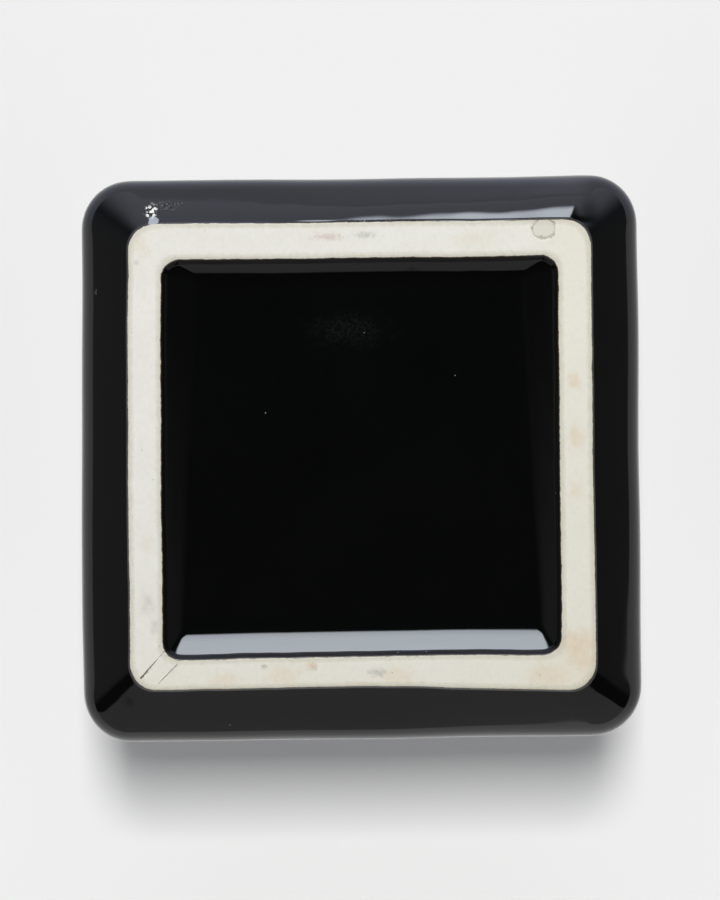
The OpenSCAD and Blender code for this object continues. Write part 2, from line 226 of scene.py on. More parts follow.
class Shader(Nodes):
    """A material with one Principled shader. Lengths are in millimetres."""

    def __init__(self, name):
        self.material = bpy.data.materials.new(name)
        super().__init__(self.material)
        self.main = self.node("BsdfPrincipled")
        self.node("OutputMaterial", {"Surface": self.main.outputs[0]})
        self.mm = self.vector("SCALE", self.node("TexCoord").outputs["Object"], scale=1 / MM)

    def set(self, **values):
        """Sets the Principled shader's inputs; an underscore in a name is a space."""
        for key, value in values.items():
            self.put(self.main.inputs[key.replace("_", " ")], value)

    def vector(self, operation, a, b=None, scale=None):
        inputs = {0: a}
        if b is not None:
            inputs[1] = b
        if scale is not None:
            inputs["Scale"] = scale
        made = self.node("VectorMath", inputs, operation=operation)
        return made.outputs["Value" if operation in ("LENGTH", "DOT_PRODUCT", "DISTANCE") else "Vector"]

    def noise(self, size, detail=2, roughness=0.5, vector=None, seed=0):
        """Noise from 0 to 1 whose lumps are about size millimetres across."""
        inputs = {"Scale": 1 / size, "Detail": detail, "Roughness": roughness, "W": seed}
        inputs["Vector"] = vector or self.mm
        return self.node("TexNoise", inputs, noise_dimensions="4D").outputs["Fac"]

    def cells(self, size):
        """Distance from the nearest of scattered points, about size millimetres apart."""
        return self.node("TexVoronoi", {"Scale": 1 / size, "Vector": self.mm}).outputs["Distance"]

    def bump(self, height):
        """A bump from a height in millimetres."""
        inputs = {"Height": height, "Distance": MM, "Strength": 1}
        return self.node("Bump", inputs).outputs["Normal"]

    def add(self, value, factor, total):
        """total + value * factor."""
        return self.math("MULTIPLY_ADD", value, factor, total)

    def tint(self, colour, mask, strength, paint):
        """The colour with paint over it where the mask is 1, at a strength of 0 to 1."""
        return self.mix(self.times(mask, strength), colour, paint)

    def blot(self, x, y, radius, stretch=1, soft=0.5, ragged=0.3, seed=0):
        """1 inside a ragged spot at x, y of the plan, and 0 past its radius; stretch widens it along x."""
        away = self.vector("SUBTRACT", self.vector("MULTIPLY", self.mm, (1, 1, 0)), (x, y, 0))
        away = self.vector("LENGTH", self.vector("MULTIPLY", away, (1 / stretch, 1, 0)))
        rag = self.noise(radius * 0.7, 3, 0.6, seed=seed)
        away = self.add(self.minus(rag, 0.5), ragged * 4 * radius, away)
        return self.step(away, radius, radius * (1 - soft))

    def line(self, start, end, width, ragged=0.3, seed=0):
        """1 on a wandering line between two points of the plan, and 0 at width from it."""
        across = Vector((end[0] - start[0], end[1] - start[1], 0))
        away = self.vector("SUBTRACT", self.vector("MULTIPLY", self.mm, (1, 1, 0)), (*start, 0))
        along = self.vector("DOT_PRODUCT", away, tuple(across))
        along = self.times(along, 1 / across.length_squared)
        along = self.node("Clamp", {0: along}).outputs[0]
        nearest = self.vector("SCALE", tuple(across), scale=along)
        gap = self.vector("LENGTH", self.vector("SUBTRACT", away, nearest))
        rag = self.noise(1.2, 3, 0.6, seed=seed)
        gap = self.add(self.minus(rag, 0.5), ragged, gap)
        return self.step(gap, width, width * 0.3)


def rgb(r, g, b):
    """A shader colour from sRGB values of 0 to 255."""
    linear = [c / 255 / 12.92 if c <= 10 else ((c / 255 + 0.055) / 1.055) ** 2.4 for c in (r, g, b)]
    return (*linear, 1)


# ---------------- materials


def glaze_surface(s):
    """Colour, roughness and height of the thick black glaze: slow waves, fine orange peel and pinholes."""
    waves = s.noise(9, 2, 0.4, seed=1)
    peel = s.noise(0.8, seed=2)
    holes = s.cells(3.4)
    chance = s.step(s.noise(6, 1, seed=3), 0.5, 0.6)
    hole = s.times(s.step(holes, 0.036, 0.02), chance)
    height = s.add(peel, 0.0012, s.times(waves, 0.03))
    height = s.add(hole, -0.05, height)
    tone = s.mix(s.noise(14, 3, 0.6, seed=4), rgb(2, 3, 2), rgb(6, 7, 6))
    colour = s.tint(tone, hole, 0.7, rgb(150, 146, 136))
    rough = s.add(s.noise(3, 4, 0.7, seed=5), 0.05, 0.04)
    return colour, rough, height


# places on the foot ring, in the part's plan: (x, y, radius, stretch along x, strength)
WARM_STAINS = [(30.6, -10.5, 1.7, 0.8, 0.5), (30.9, -2.5, 2.6, 0.7, 0.45),
               (30.8, 5, 2.2, 0.8, 0.25), (31, 27.5, 4.5, 0.9, 0.5),
               (26.5, 31.5, 2.8, 1.5, 0.35), (-7.3, 29.6, 1.1, 1.3, 0.55),
               (-11.5, 31, 2, 2, 0.3), (5, 31.3, 2.4, 2, 0.3),
               (-19.5, 31.8, 1.6, 2.5, 0.3), (-31, -30.5, 2.4, 1, 0.3),
               (-30.5, 12, 1.8, 0.8, 0.22), (17, -31, 2.2, 2.4, 0.2)]
GREY_SMUDGES = [(2.2, 30.8, 0.9, 2.4, 0.45), (-30.4, 20.5, 2.4, 0.6, 0.3),
                (-29.6, 23.8, 1.6, 0.6, 0.3), (1, -31.6, 0.7, 3, 0.45),
                (-14, 29.8, 0.6, 1, 0.6), (-31.7, -28, 0.6, 1, 0.35)]
ROSE_SMEARS = [(-4.4, -31.4, 0.8, 4, 0.55), (-7, 29.9, 0.7, 1.2, 0.5)]
# (start, end, half width, strength)
CRACKS = [((-31.3, 31.1), (-28, 27.3), 0.13, 0.5), ((-31.5, 31.3), (-30.7, 30.4), 0.26, 0.8),
          ((-29, 32.1), (-26.4, 29.5), 0.1, 0.14)]
CHIP = (26.5, -32.2, 1.6)    # x, y, radius
# blisters in the glaze: (x, y, radius, stretch along x, share of it that is burst)
FLAWS = [(-29.5, -35.3, 1.25, 0.9, 0.68), (-27.2, -36.2, 0.8, 3, 0.3), (4.5, -33.5, 0.3, 24, 0.42),
         (-37.6, -24, 0.5, 0.6, 0.36)]
# (x, y, radius) of the scraped facet by the foot, whose pale grey is a painted reflection, and the dusty
# patch in the recess
SCRAPED_FACET_REFLECTION = (-29.2, -33.9, 0.75)
DUST = (-1.6, -18, 3.6)
GLAZE_IOR = 1.52


def bare_surface(s, edge):
    """Colour and height of the foot ring's bare white body, with its stains, smears, cracks and chip."""
    grain = s.noise(0.22, 3, 0.75, seed=11)
    brushed = s.noise(0.7, 3, 0.7, vector=s.vector("MULTIPLY", s.mm, (1, 0.75, 1)), seed=14)
    cloud = s.noise(5, 3, 0.6, seed=12)
    colour = s.mix(cloud, rgb(234, 231, 222), rgb(225, 220, 207))
    part = s.node("SeparateXYZ", {0: s.mm})
    warmer = s.plus(s.step(part.outputs["X"], 18, 32), s.step(part.outputs["Y"], 22, 34))
    colour = s.tint(colour, warmer, 0.42, rgb(228, 219, 196))
    colour = s.tint(colour, s.step(brushed, 0.42, 0.7), 0.3, rgb(216, 212, 199))
    for first_seed, places, stain in ((101, WARM_STAINS, rgb(214, 184, 140)),
                                      (121, GREY_SMUDGES, rgb(128, 128, 124)),
                                      (131, ROSE_SMEARS, rgb(190, 158, 148))):
        for seed, (x, y, radius, stretch, strength) in enumerate(places, first_seed):
            blot = s.blot(x, y, radius, stretch, 0.9, 0.45, seed)
            blot = s.times(blot, s.math("MULTIPLY_ADD", brushed, 1.1, 0.2, clamp=True))
            colour = s.tint(colour, blot, strength, stain)
    margin = s.step(s.add(brushed, 0.5, edge), -0.55, 0.15)
    colour = s.tint(colour, margin, 0.6, rgb(196, 190, 168))
    sooty = s.times(s.step(edge, -1, 0.05), s.step(grain, 0.52, 0.72),
                    s.step(s.noise(3.2, seed=17), 0.45, 0.62))
    colour = s.tint(colour, sooty, 0.5, rgb(140, 134, 120))
    specks = s.times(s.step(s.cells(1.3), 0.1, 0.05), s.step(s.noise(2.5, 1, seed=15), 0.56, 0.62))
    colour = s.tint(colour, specks, 0.55, rgb(120, 110, 96))
    height = s.add(grain, 0.012, s.times(brushed, 0.02))
    height = s.add(s.noise(2.4, seed=16), 0.05, height)
    for start, end, width, strength in CRACKS:
        crack = s.times(s.line(start, end, width, 0.6, 141), s.step(grain, 0.3, 0.52))
        colour = s.tint(colour, crack, strength, rgb(78, 70, 58))
        height = s.add(crack, -0.12, height)
    x, y, radius = CHIP
    chip = s.blot(x, y, radius, 1.15, 0.12, 0.2, 151)
    inside = s.blot(x, y - 0.2, radius * 0.88, 1.15, 0.2, 0.2, 151)
    rim = s.times(chip, s.minus(1, inside))
    colour = s.tint(colour, chip, 0.55, rgb(206, 203, 186))
    colour = s.tint(colour, rim, 0.5, rgb(150, 144, 124))
    return colour, s.add(chip, -0.1, height)


def glaze_over_body():
    """Glaze outside, bare body on the foot ring's face, and the brown line where the glaze thins out."""
    s = Shader("black_glaze_and_foot")
    edge = s.node("Attribute", attribute_name="edge_mm", attribute_type="GEOMETRY").outputs["Fac"]
    ragged = s.minus(s.noise(1.5, 4, 0.65, seed=21), 0.5)
    edge = s.add(ragged, 0.4, edge)
    glazed = s.step(edge, 0, 0.08)
    thin = s.times(s.step(edge, 0.3, 0.05), glazed)
    glaze_colour, glaze_rough, glaze_height = glaze_surface(s)
    glaze_colour = s.tint(glaze_colour, thin, 0.8, rgb(92, 74, 54))
    # blisters in the glaze, with white specks of body showing through, and a scraped facet by the foot whose
    # pale grey is a painted reflection of the soft box
    bubbles = s.cells(0.5)
    crumbs = s.noise(0.7, 2, 0.6, seed=162)
    for x, y, radius, stretch, share in FLAWS:
        blister = s.blot(x, y, radius, stretch, 0.5, 0.35, 161)
        burst = s.times(s.step(bubbles, 0.6, 0.4), s.step(crumbs, 1 - share, 1.05 - share), blister)
        glaze_colour = s.mix(burst, glaze_colour, rgb(222, 220, 210))
        pits = s.times(s.minus(bubbles, 0.5), blister)
        glaze_height = s.add(pits, 0.25, glaze_height)
        glaze_rough = s.add(blister, 0.2, glaze_rough)
    # the scraped facet: its pale bluish grey is a painted reflection of the soft box, not the glaze's own
    # colour
    x, y, radius = SCRAPED_FACET_REFLECTION
    facet_reflection = s.blot(x, y, radius, 1.1, 0.3, 0.4, 163)
    glaze_colour = s.tint(glaze_colour, facet_reflection, 0.7, rgb(168, 170, 176))
    # a faint dusty patch on the recess floor
    dust = s.times(s.blot(*DUST, 2.2, 1.2, 0.4, 171), s.step(s.noise(0.4, 4, 0.85, seed=172), 0.4, 0.7))
    glaze_colour = s.tint(glaze_colour, dust, 0.06, rgb(120, 124, 124))
    bare_colour, bare_height = bare_surface(s, edge)
    colour = s.mix(glazed, bare_colour, glaze_colour)
    rough = s.blend(glazed, 0.82, glaze_rough)
    height = s.blend(glazed, bare_height, s.plus(glaze_height, 0.05))
    s.set(Base_Color=colour, Roughness=rough, Normal=s.bump(height), IOR=GLAZE_IOR)
    return s.material


def plain_glaze():
    s = Shader("black_glaze")
    colour, rough, height = glaze_surface(s)
    s.set(Base_Color=colour, Roughness=rough, Normal=s.bump(height), IOR=GLAZE_IOR)
    return s.material


def metal(name, light, dark, rough, streaks=(0.15, 0.15, 6), streak_size=0.5, seed=31):
    """A worn metal: colour from light to dark, faint streaks in its polish, and small scratches."""
    s = Shader(name)
    cloud = s.noise(5, 4, 0.6, seed=seed)
    streak = s.noise(streak_size, 4, 0.7, vector=s.vector("MULTIPLY", s.mm, streaks), seed=seed + 1)
    scratch = s.noise(0.6, 1, vector=s.vector("MULTIPLY", s.mm, (0.2, 2.5, 1)), seed=seed + 2)
    scratched = s.step(scratch, 0.68, 0.74)
    colour = s.mix(cloud, light, dark)
    height = s.add(scratched, -0.01, s.times(streak, 0.004))
    s.set(Base_Color=colour, Roughness=s.add(streak, 0.16, rough), Normal=s.bump(height), Metallic=1)
    return s.material


def powder():
    """Pressed powder: matt and a little velvety, with fine grain and small lighter flecks."""
    s = Shader("pressed_powder")
    grain = s.noise(0.18, 3, 0.7, seed=41)
    cloud = s.noise(7, 3, seed=42)
    colour = s.mix(cloud, rgb(226, 184, 158), rgb(214, 166, 140))
    colour = s.mix(s.step(grain, 0.62, 0.8), colour, rgb(240, 206, 184))
    s.set(Base_Color=colour, Normal=s.bump(s.times(grain, 0.06)), Roughness=0.92, Sheen_Weight=0.3)
    return s.material


def velour():
    """Short pile: soft sheen and a mottled nap."""
    s = Shader("puff_velour")
    nap = s.noise(0.35, 4, 0.75, seed=51)
    lay = s.noise(4, 3, 0.6, seed=52)
    colour = s.mix(lay, rgb(238, 212, 202), rgb(222, 190, 180))
    colour = s.tint(colour, s.step(nap, 0.6, 0.3), 0.45, rgb(190, 150, 140))
    s.set(Base_Color=colour, Normal=s.bump(s.times(nap, 0.25)), Roughness=0.95)
    s.set(Sheen_Weight=0.4, Sheen_Roughness=0.4)
    return s.material


def woven(name, light, dark, pitch, rough, sheen, ribs_along_x=False):
    """A fine weave: two crossed sets of threads, or ribs across a ribbon."""
    s = Shader(name)
    part = s.node("SeparateXYZ", {0: s.mm})
    turn = FULL_TURN / pitch
    warp = s.math("SINE", s.times(part.outputs["X"], turn))
    weft = s.math("SINE", s.times(part.outputs["Y"], turn * (0.35 if ribs_along_x else 1)))
    thread = s.plus(warp, s.times(weft, 0.25 if ribs_along_x else 1))
    cloud = s.noise(3, 3, 0.6, seed=61)
    colour = s.mix(s.step(thread, -1.4, 1.4), dark, light)
    colour = s.tint(colour, cloud, 0.3, dark)
    s.set(Base_Color=colour, Normal=s.bump(s.times(thread, 0.02)), Roughness=rough, Sheen_Weight=sheen)
    return s.material


def felt():
    s = Shader("wool_felt")
    fuzz = s.noise(0.3, 5, 0.8, seed=71)
    colour = s.mix(fuzz, rgb(96, 22, 28), rgb(140, 44, 48))
    s.set(Base_Color=colour, Normal=s.bump(s.times(fuzz, 0.2)), Roughness=0.95, Sheen_Weight=0.5)
    return s.material


def card():
    s = Shader("pulp_card")
    fibre = s.noise(0.6, 4, 0.7, vector=s.vector("MULTIPLY", s.mm, (0.3, 1, 1)), seed=81)
    colour = s.mix(fibre, rgb(150, 130, 104), rgb(118, 98, 76))
    s.set(Base_Color=colour, Normal=s.bump(s.times(fibre, 0.05)), Roughness=0.9)
    return s.material


def silvered():
    """Mirror glass, with faint dust."""
    s = Shader("silvered_glass")
    dust = s.step(s.noise(0.4, 3, 0.7, seed=91), 0.7, 0.8)
    colour = s.mix(dust, rgb(240, 243, 244), rgb(200, 200, 198))
    s.set(Base_Color=colour, Roughness=s.add(dust, 0.25, 0.015), Metallic=1)
    return s.material


GLAZE = plain_glaze()
GLAZE_FOOT = glaze_over_body()
BRASS = metal("gilt_brass", rgb(232, 198, 128), rgb(206, 164, 92), 0.16)
BRUSHED = metal("brushed_gilt", rgb(228, 194, 126), rgb(206, 168, 100), 0.24, (6, 0.1, 1), 0.4, 34)
STEEL = metal("spring_steel", rgb(196, 198, 202), rgb(150, 152, 158), 0.2, (0.15, 4, 1), 0.5, 37)
ALUMINIUM = metal("pan_aluminium", rgb(226, 227, 229), rgb(200, 202, 206), 0.26, (1, 1, 1), 0.5, 39)
POWDER = powder()
VELOUR = velour()
SATIN = woven("puff_satin", rgb(228, 180, 174), rgb(196, 142, 138), 0.28, 0.38, 0.2)
RIBBON = woven("silk_ribbon", rgb(222, 150, 152), rgb(186, 112, 118), 0.55, 0.42, 0.3, True)
FELT = felt()
CARD = card()
MIRROR = silvered()


# ---------------- ceramic shells


def arc(centre_z, centre_half, radius, tilts, corners):
    """Stations along an arc of the profile. A tilt is the surface's slope: 0 faces down and 90 out."""
    steps = len(tilts) - 1
    return [
        (centre_z - radius * math.cos(math.radians(t)), centre_half + radius * math.sin(math.radians(t)),
         corners[0] + (corners[1] - corners[0]) * n / steps)
        for n, t in enumerate(tilts)
    ]


def uneven(x, y, z, seed, amount):
    """A small, slow sideways shift of a point that leaves its height alone."""
    at = Vector((x / 21, y / 21, z / 25 + seed))
    dx = noise.noise(at) * amount
    dy = noise.noise(at + Vector((31.7, 0, 0))) * amount
    return x + dx, y + dy


FOOT_HALF = 33          # half width of the foot ring
RING_FACE = 4.6         # width of its flat face
FLOOR_HALF = 24.7       # half width of the recess floor
RECESS_DEPTH = 2.3
LIP_WIDTH = 0.26        # the steep lip of glaze at the foot ring's outer edge
LIP_SLOPE = 1.9
GLAZE_SLOPE = 0.72      # the slope above the lip, and how fast it steepens
GLAZE_SWELL = 0.0184
POOL_GAP = 0.4          # the pooled glaze, by distance from the foot ring
POOL_END = 6.9
POOL_ROUNDING = 1.6
NECK_LOW = 12           # the base's neck and the notch in it
NOTCH_HALF = 7.2


def smooth_step(value, low, high):
    t = min(1, max(0, (value - low) / (high - low)))
    return t * t * (3 - 2 * t)


def base_profile():
    """(stations, edge_mm values) from the recess's centre over the foot, the belly and the rim, and inside.

    edge_mm is the way along the surface from the bare face's nearest edge, negative on the face itself.
    """
    inner = FOOT_HALF - RING_FACE
    recess = [(RECESS_DEPTH + rise, half, corner) for rise, half, corner in (
        (0.04, 0.4, 0.3), (0.04, 4, 0.5), (0.03, 10, 0.6), (0.02, 16, 0.6), (0, 21, 0.6))]
    recess += [(z, FLOOR_HALF + d, corner) for z, d, corner in (
        (RECESS_DEPTH, -1.7, 0.6), (2.265, -1.2, 0.6), (2.2, -0.8, 0.6), (2.13, -0.5, 0.6),
        (2.04, -0.2, 0.65), (1.9, 0.2, 0.75), (1.72, 0.7, 0.9), (1.48, 1.3, 1.2), (1.28, 1.8, 1.45),
        (1.07, 2.3, 1.7), (0.9, 2.7, 1.95))]
    inner_lip = [(0.81, inner - 0.78, 2.1), (0.68, inner - 0.64, 2.2), (0.45, inner - 0.45, 2.4),
                 (0.2, inner - 0.25, 2.55), (0.05, inner - 0.09, 2.65)]
    face = [(0, inner + 0.06, 2.75), (0, inner + 0.5, 2.8), (0, inner + 1.6, 3), (0, inner + 3, 3.3),
            (0, FOOT_HALF - 0.5, 3.7), (0, FOOT_HALF - 0.12, 3.75)]
    outer_lip = [(outer_slope(d), FOOT_HALF + d, 3.8) for d in (0, 0.05, 0.11, 0.18, LIP_WIDTH)]
    away = [0.36, 0.52, 0.7, 0.9, 1.12, 1.36, 1.62, 1.9, 2.25, 2.7, 3.2, 3.7, 4.1]
    slope = [(outer_slope(d), FOOT_HALF + d, 3.8 + 0.45 * d) for d in away]
    belly = arc(8.45, 34.8, 5.2, [42, 48, 55, 62, 70, 78, 85, 90], (6.1, 7.2))
    shoulder = arc(8.45, 36.2, 3.8, [100, 110, 120, 131, 142, 152, 160], (7.2, 6.2))
    neck = [(12, 37.3, 6), (12.02, 36.9, 5.7), (12.1, 36.7, 5.3), (13.8, 36.7, 5.3), (13.98, 36.5, 5.2),
            (13.98, 34.5, 4.8), (13.8, 34.25, 4.6)]
    inside = [(9, 34.25, 4.6), (7.5, 34.1, 4.6), (6.2, 33.2, 4.4), (5.3, 32, 4), (5, 30.8, 3.8),
              (5, 24, 3.5), (5, 12, 3), (5, 0.4, 0.3)]
    stations = recess + inner_lip + face + outer_lip + slope + belly + shoulder + neck + inside
    edges = []
    for z, half, _ in stations:
        if z == 0:
            edges.append(-min(half - inner, FOOT_HALF - half))
        else:
            edges.append(max(0.02, abs(max(inner - half, half - FOOT_HALF)) + z * 0.6))
    return stations, edges


def outer_slope(away):
    """Height of the glaze at a distance from the foot ring: a small lip, then a swelling slope."""
    past = max(0, away - LIP_WIDTH)
    return 0.02 + LIP_SLOPE * min(away, LIP_WIDTH) + GLAZE_SLOPE * past + GLAZE_SWELL * past ** 2


def glaze_pool(x, y, z):
    """How much thicker the glaze stands along the foot's front edge, where it gathers towards the right."""
    away = -y - FOOT_HALF - POOL_GAP
    if z > 7 or away < 0 or away > POOL_END or x < -20:
        return 0
    ripple = 0.26 * noise.noise(Vector((x / 1.1, 5.5, 0))) + 0.24 * noise.noise(Vector((x / 5, 9.5, 0)))
    reach = max(0, 0.1 + 0.052 * x + 0.06 * max(0, x - 26) + ripple * smooth_step(x, -3, 6))
    near = min(away, reach + POOL_ROUNDING)
    pooled = 0.12 + 0.5 * near + 0.065 * max(0, near - reach) ** 2
    thicker = max(0, outer_slope(near) - pooled) * smooth_step(x, -20, 0) * smooth_step(x, 34.5, 30.8)
    return thicker * (1 - smooth_step(away, reach + POOL_ROUNDING, POOL_END))


def base_shape(x, y, z):
    """The base's hand-made unevenness.

    The square is a little out of true and longer towards the back. The recess floor widens towards the
    back. The foot ring sits towards the front and bulges at its back right corner. All edges wander.
    """
    if z > 11.5:
        # the neck keeps true, and has a notch at the front that the catch passes through
        notched = y < 0 and abs(y) > abs(x) and abs(x) < NOTCH_HALF
        return x, y, NECK_LOW + 0.03 * (z - NECK_LOW) if notched else z
    out = max(abs(x), abs(y))
    floor = min(1, max(0, (27.7 - out) / 3)) if z > 0.7 and out < 28 else 0
    foot = smooth_step(out, FOOT_HALF - RING_FACE, FOOT_HALF - 0.4) * smooth_step(z, 5.5, 1)
    belly = smooth_step(z, 1, 6) if out > 30 else 0
    x, y = x - 0.0055 * y * (0.5 - x / 80), y - 0.0035 * x
    x *= 1 + floor * 0.047 * y / FLOOR_HALF
    y += floor * (y / FLOOR_HALF) * (1.25 if y < 0 else 0.3) + belly * (0.24 + 0.4 * y / 40)
    y += foot * (-0.3 + 0.12 * y / FOOT_HALF) + (1 - foot) * (1 - belly) * 0.25 * max(0, y) / 28
    if x > 0:
        y += 0.45 * foot * smooth_step(x, 2, 16) * max(0, y) / FOOT_HALF
        x += 0.25 * x / 40
        bulge = (x * max(0, y) / FOOT_HALF ** 2) ** 2 * foot
        x += 0.3 * bulge
        y += 0.35 * bulge
    x, y = uneven(x, y, z, 3, 0.26)
    fine = 0.09 * smooth_step(z, 4, 1) if out > 26 else 0
    x += fine * noise.noise(Vector((x / 3.1, y / 3.1, 8)))
    y += fine * noise.noise(Vector((x / 3.1, y / 3.1, 14)))
    return x, y, max(0, z - glaze_pool(x, y, z))


def lid_profile():
    """Stations from the lid's inner ceiling out over its mouth and neck, round the belly to the crown."""
    inside = [(22.3, 0.4, 0.3), (22.3, 12, 2), (22.3, 24, 3), (22.2, 30.6, 3.8), (21.8, 32, 4.1),
              (21.1, 33.3, 4.4), (20.2, 34.1, 4.6), (19, 34.25, 4.6), (16.25, 34.28, 4.6), (16.05, 34.5, 4.8)]
    neck = [(16.05, 36.4, 5.2), (16.25, 36.68, 5.3), (17.85, 36.7, 5.3), (17.98, 36.9, 5.7), (18, 37.25, 6)]
    belly = arc(21.55, 35.9, 3.8, [22, 32, 43, 54, 66, 78, 90], (6.2, 7.2))
    shoulder = arc(21.55, 35.5, 4.2, [98, 108, 119, 130, 142, 154, 164], (7.2, 7.4))
    crown = [(25.76, 35.3, 7.6), (25.92, 33.2, 8), (26.1, 29.5, 8.5), (26.27, 24, 9), (26.4, 17, 8),
             (26.48, 9, 5), (26.5, 3, 1.8), (26.5, 0.4, 0.3)]
    return inside + neck + belly + shoulder + crown


def lid_shape(x, y, z):
    """The lid wanders, but not where the brass band grips it."""
    x, y = uneven(x, y, z, 9, 0.35 if z > 18.2 else 0)
    return x, y, z


def make_shells():
    stations, edges = base_profile()
    base = sweep("base_ceramic", stations, GLAZE_FOOT, base_shape, side_steps=44, edge=edges)
    subdivide(base)
    place(base, "base", "black_glaze", "base_shell")
    lid = sweep("lid_ceramic", lid_profile(), GLAZE, lid_shape)
    subdivide(lid)
    place(lid, "lid", "black_glaze", "lid_shell")


make_shells()


# ---------------- brass mounts

BAND_HALF = 37.5        # half width of the brass bands outside
BAND_CORNER = 6
MOUNT_STEPS = {"closed": True, "side_steps": 8, "corner_steps": 14}


@contextlib.contextmanager
def edited(mesh):
    """A mesh open for editing, written back at the end."""
    made = bmesh.new()
    made.from_mesh(mesh)
    yield made
    made.to_mesh(mesh)
    made.free()


def cut_box(piece, low, high):
    """Cuts a box between two corners out of a piece."""
    (x0, y0, z0), (x1, y1, z1) = low, high
    corners = [(x, y, z) for z in (z0, z1) for x, y in ((x0, y0), (x1, y0), (x1, y1), (x0, y1))]
    faces = [(3, 2, 1, 0), (4, 5, 6, 7), (0, 1, 5, 4), (1, 2, 6, 5), (2, 3, 7, 6), (3, 0, 4, 7)]
    tool = new_piece("cutter", corners, faces, smooth=False)
    cut = piece.modifiers.new("cut", "BOOLEAN")
    cut.object = tool
    cut.operation = "DIFFERENCE"
    apply_modifiers(piece)
    bpy.data.objects.remove(tool)


def finish_edges(piece, angle=35):
    """Smooth shading that breaks at edges sharper than the angle."""
    sharp = math.radians(angle)
    mesh = piece.data
    mesh.polygons.foreach_set("use_smooth", [True] * len(mesh.polygons))
    with edited(mesh) as made:
        for edge in made.edges:
            edge.smooth = len(edge.link_faces) == 2 and edge.calc_face_angle(0) < sharp


def rounded_copy(node, name, body, slot, material, width=0.08):
    """A CAD node's own shape with its edges eased by a small bevel, in millimetres, and a new material."""
    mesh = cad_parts[node].data.copy()
    with edited(mesh) as made:
        bmesh.ops.remove_doubles(made, verts=made.verts, dist=0.002 * MM)
        bmesh.ops.dissolve_limit(made, angle_limit=math.radians(1), verts=made.verts, edges=made.edges)
    mesh.materials.clear()
    mesh.materials.append(material)
    piece = new_object(name, mesh)
    bevel = piece.modifiers.new("ease", "BEVEL")
    bevel.width = width * MM
    bevel.segments = 2
    bevel.limit_method = "ANGLE"
    bevel.angle_limit = math.radians(38)
    apply_modifiers(piece)
    with edited(piece.data) as made:
        bmesh.ops.dissolve_degenerate(made, dist=0.001 * MM, edges=made.edges)
    finish_edges(piece)
    place(piece, body, slot, node)


def bezel_face(z_out, z_in, turn):
    """A brass band's outside, from its ceramic edge at z_out to its rim at z_in: a bead, a face, two lines.

    turn is 1 for the base and -1 for the lid, whose profile runs the other way.
    """
    marks = [(0.04, -0.45), (0.06, -0.12), (0.14, 0.05), (0.28, 0.12), (0.42, 0.05), (0.5, -0.08),
             (0.56, -0.1), (0.64, 0), (0.9, 0), (1.6, 0), (2.05, 0), (2.14, 0), (2.2, -0.07),
             (2.26, -0.07), (2.32, 0), (2.5, 0), (2.66, -0.02), (2.78, -0.1), (2.84, -0.22)]
    length = abs(z_in - z_out)
    return [(z_out + turn * min(up, length - 0.01), BAND_HALF + out, BAND_CORNER) for up, out in marks]


def make_bezels():
    rim, bottom = 14.85, 12
    outside = bezel_face(bottom, rim, 1)
    inside = [(rim, 37, 5.6), (rim, 34, 4.4), (rim, 33.62, 4.3), (rim + 0.08, 33.52, 4.2),
              (15.78, 33.5, 4.2), (15.88, 33.42, 4.1), (15.9, 33.2, 4), (15.86, 32.98, 3.7),
              (15.75, 32.9, 3.6), (13.68, 32.9, 3.6), (13.61, 32.98, 3.7), (13.61, 33.42, 4.1),
              (13.7, 33.5, 4.2), (14.05, 33.52, 4.2), (14.08, 33.9, 4.4), (14.08, 36.7, 5.2),
              (13.95, 36.76, 5.3), (12.12, 36.76, 5.3), (12.04, 36.85, 5.4)]
    base = sweep("base_rim_mount", outside + inside, BRASS, **MOUNT_STEPS)
    cut_box(base, (-4.3, -38.5, 11), (4.3, -36, 13.3))
    finish_edges(base)
    place(base, "base", "gilt_brass", "base_bezel")

    rim, top = 15.15, 18
    outside = bezel_face(top, rim, -1)
    inside = [(rim, 37, 5.6), (rim, 34.2, 4.6), (rim + 0.03, 33.9, 4.5), (rim + 0.15, 33.8, 4.4),
              (17.5, 33.8, 4.4), (17.58, 33.88, 4.4), (17.58, 34.08, 4.4), (17.5, 34.15, 4.5),
              (16.05, 34.16, 4.5), (15.97, 34.4, 4.6), (15.97, 36.6, 5.2), (16.1, 36.76, 5.3),
              (17.9, 36.76, 5.3), (17.96, 36.85, 5.4)]
    lid = sweep("lid_rim_mount", (outside + inside)[::-1], BRASS, **MOUNT_STEPS)
    finish_edges(lid)
    place(lid, "lid", "gilt_brass", "lid_bezel")


def make_button():
    """The push button: a rounded bar with a crowned front and a fine line round it."""
    half_length, half_height, middle = 5.5, 1, 13.3
    steps = 12
    layers = [(-38.36, 0.2), (-38.46, 0.07), (-38.56, 0), (-38.75, 0), (-38.8, 0.05), (-38.88, 0.05),
              (-38.93, 0), (-39.15, 0.01), (-39.3, 0.08), (-39.4, 0.2), (-39.46, 0.4), (-39.5, 0.7)]
    verts = []
    for y, inset in layers:
        radius = half_height - inset
        for side in (1, -1):
            for step in range(steps + 1):
                angle = side * math.radians(90) - math.radians(180) * step / steps
                x = side * (half_length - half_height) + radius * math.cos(angle)
                verts.append((x, y, middle + radius * math.sin(angle)))
    count = 2 * (steps + 1)
    button = new_piece("push_button_bar", verts, capped(len(layers), count, flipped=True), BRASS)
    finish_edges(button)
    place(button, "catch", "gilt_brass", "push_button")


